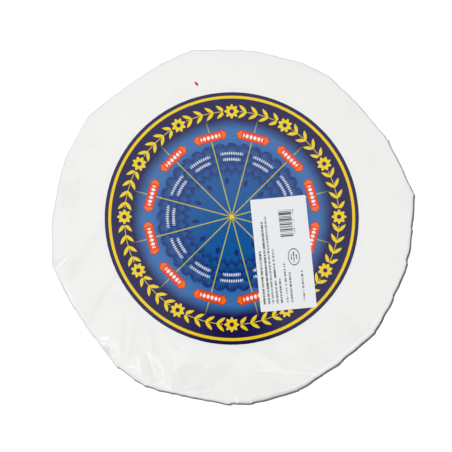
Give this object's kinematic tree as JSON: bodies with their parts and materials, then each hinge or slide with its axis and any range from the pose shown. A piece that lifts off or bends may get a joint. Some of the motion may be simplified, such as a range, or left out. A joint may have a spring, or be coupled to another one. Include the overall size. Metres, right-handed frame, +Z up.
{
  "type": "wrapped brie wheel",
  "caption": "Flat round wheel of soft white-rind cheese shut in a taut white pleated wrap, with a round printed label and a paper data sticker on its top.",
  "frame": {"origin": "middle of the wheel's outline, on the face that it rests on", "axes": "+Z up through the wheel, +Y towards the top of the label, +X to the label's right"},
  "size_m": [0.3634, 0.3568, 0.0325],
  "materials": {
    "white_wrap": "satin white film over paper",
    "printed_label": "gloss print in dark blue, blue, yellow and orange red",
    "sticker_paper": "matte coated white paper with grey print"
  },
  "bodies": {
    "root": {"wrapped_wheel": "white_wrap", "round_label": "printed_label", "data_sticker": "sticker_paper"}
  },
  "joints": []
}
